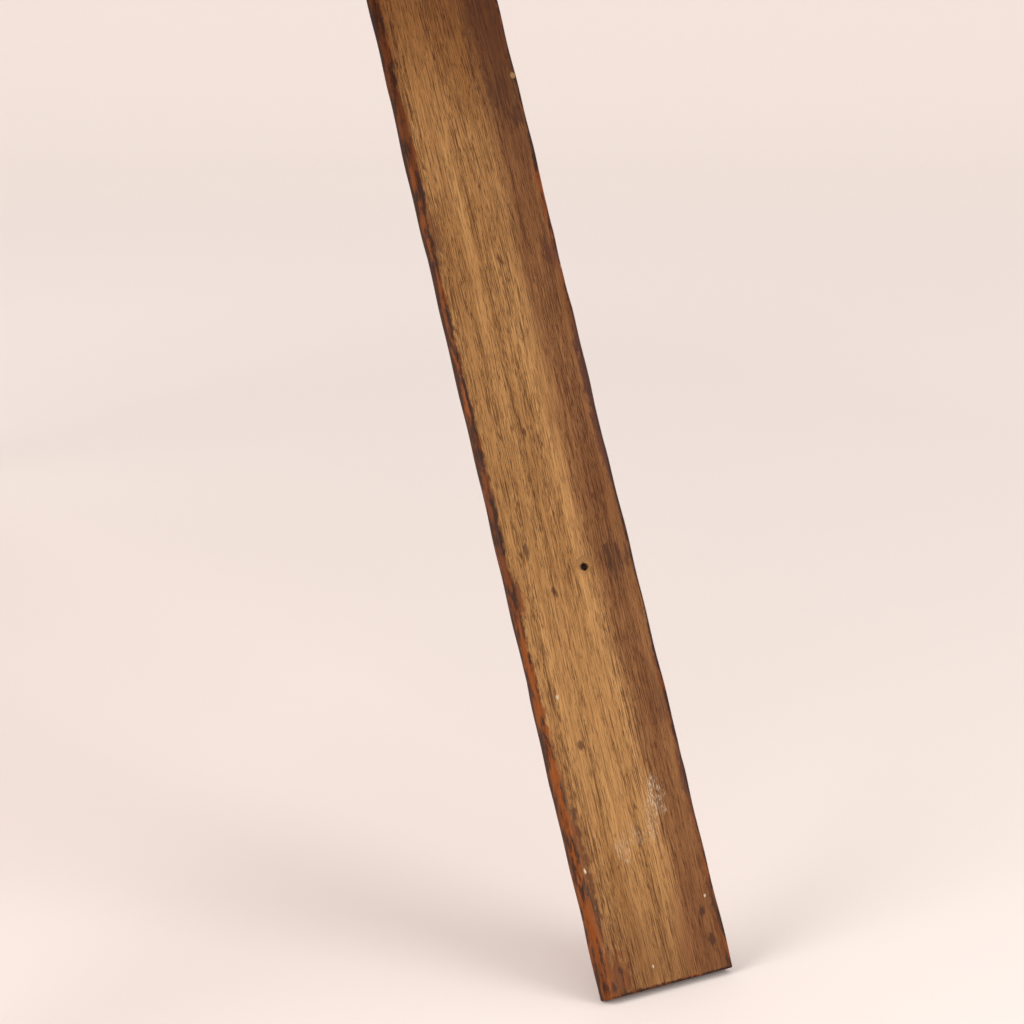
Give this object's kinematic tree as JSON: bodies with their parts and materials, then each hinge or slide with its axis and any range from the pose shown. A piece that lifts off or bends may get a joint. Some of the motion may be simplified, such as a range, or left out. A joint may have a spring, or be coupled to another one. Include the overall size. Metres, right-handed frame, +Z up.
{
  "type": "folding table",
  "caption": "Folding plank table: boarded top on battens, splayed plank leg frames that hinge flat beneath it, folding metal stays and turn buttons.",
  "frame": {"origin": "on the floor under the middle of the open table", "axes": "+X along the boards towards end A, +Y across the table, +Z up"},
  "size_m": [1.5, 0.7, 0.74],
  "materials": {
    "leg_wood": "worn varnish over open-pored brown hardwood",
    "top_wood": "worn brown hardwood boards",
    "frame_wood": "dark worn hardwood",
    "fitting_wood": "worn hardwood",
    "hinge_steel": "aged brown steel",
    "stay_steel": "aged brown steel",
    "screw_steel": "aged steel"
  },
  "bodies": {
    "tabletop": {"apron_left": "frame_wood", "apron_right": "frame_wood", "apron_screws": "screw_steel", "batten_centre": "frame_wood", "batten_end_a": "frame_wood", "batten_end_b": "frame_wood", "batten_hinge_a": "frame_wood", "batten_hinge_b": "frame_wood", "board_screws": "screw_steel", "button_post_left": "fitting_wood", "button_post_right": "fitting_wood", "button_screws": "screw_steel", "hinge_pins": "hinge_steel", "hinge_top_leaf_a_left": "hinge_steel", "hinge_top_leaf_a_right": "hinge_steel", "hinge_top_leaf_b_left": "hinge_steel", "hinge_top_leaf_b_right": "hinge_steel", "hinge_top_screws": "screw_steel", "stay_top_bracket_a": "stay_steel", "stay_top_bracket_b": "stay_steel", "stay_top_pin_a": "stay_steel", "stay_top_pin_b": "stay_steel", "stay_top_screws": "screw_steel", "top_board_1": "top_wood", "top_board_2": "top_wood", "top_board_3": "top_wood", "top_board_4": "top_wood", "top_board_5": "top_wood", "top_board_6": "top_wood"},
    "leg_frame_a": {"hinge_leg_leaf_a_left": "hinge_steel", "hinge_leg_leaf_a_right": "hinge_steel", "hinge_leg_screws_a": "screw_steel", "leg_a_left": "leg_wood", "leg_a_right": "leg_wood", "rail_a": "leg_wood", "rail_screws_a": "screw_steel", "stay_rail_bracket_a": "stay_steel", "stay_rail_pin_a": "stay_steel", "stay_rail_screws_a": "screw_steel"},
    "leg_frame_b": {"hinge_leg_leaf_b_left": "hinge_steel", "hinge_leg_leaf_b_right": "hinge_steel", "hinge_leg_screws_b": "screw_steel", "leg_b_left": "leg_wood", "leg_b_right": "leg_wood", "rail_b": "leg_wood", "rail_screws_b": "screw_steel", "stay_rail_bracket_b": "stay_steel", "stay_rail_pin_b": "stay_steel", "stay_rail_screws_b": "screw_steel"},
    "stay_upper_a": {"knee_rivet_upper_a": "stay_steel", "stay_upper_link_a": "stay_steel"},
    "stay_upper_b": {"knee_rivet_upper_b": "stay_steel", "stay_upper_link_b": "stay_steel"},
    "stay_lower_a": {"knee_rivet_lower_a": "stay_steel", "stay_lower_link_a": "stay_steel"},
    "stay_lower_b": {"knee_rivet_lower_b": "stay_steel", "stay_lower_link_b": "stay_steel"},
    "button_left": {"turn_button_left": "fitting_wood"},
    "button_right": {"turn_button_right": "fitting_wood"}
  },
  "joints": [
    {"name": "leg_fold_a", "type": "hinge", "parent": "tabletop", "child": "leg_frame_a", "pos_m": [0.4, 0, 0.696], "axis": [0, 1, 0], "range_deg": [0, 115.4]},
    {"name": "leg_fold_b", "type": "hinge", "parent": "tabletop", "child": "leg_frame_b", "pos_m": [-0.4, 0, 0.696], "axis": [0, -1, 0], "range_deg": [0, 115.4]},
    {"name": "stay_upper_turn_a", "type": "hinge", "parent": "tabletop", "child": "stay_upper_a", "pos_m": [0.26, 0.045, 0.71], "axis": [0, 1, 0], "range_deg": [0, 138.52]},
    {"name": "stay_lower_turn_a", "type": "hinge", "parent": "leg_frame_a", "child": "stay_lower_a", "pos_m": [0.44651, 0.045, 0.60738], "axis": [0, 1, 0], "range_deg": [-144.78, 0]},
    {"name": "stay_upper_turn_b", "type": "hinge", "parent": "tabletop", "child": "stay_upper_b", "pos_m": [-0.26, -0.045, 0.71], "axis": [0, -1, 0], "range_deg": [0, 138.52]},
    {"name": "stay_lower_turn_b", "type": "hinge", "parent": "leg_frame_b", "child": "stay_lower_b", "pos_m": [-0.44651, -0.045, 0.60738], "axis": [0, -1, 0], "range_deg": [-144.78, 0]},
    {"name": "button_turn_left", "type": "hinge", "parent": "tabletop", "child": "button_left", "pos_m": [0, -0.11, 0.67], "axis": [0, 0, -1], "range_deg": [0, 90]},
    {"name": "button_turn_right", "type": "hinge", "parent": "tabletop", "child": "button_right", "pos_m": [0, 0.11, 0.67], "axis": [0, 0, 1], "range_deg": [0, 90]}
  ],
  "couplings": [
    {"joint": "stay_upper_turn_a", "follows": "leg_fold_a", "ratio": 1.2002},
    {"joint": "stay_lower_turn_a", "follows": "leg_fold_a", "ratio": -1.2545},
    {"joint": "stay_upper_turn_b", "follows": "leg_fold_b", "ratio": 1.2002},
    {"joint": "stay_lower_turn_b", "follows": "leg_fold_b", "ratio": -1.2545}
  ]
}
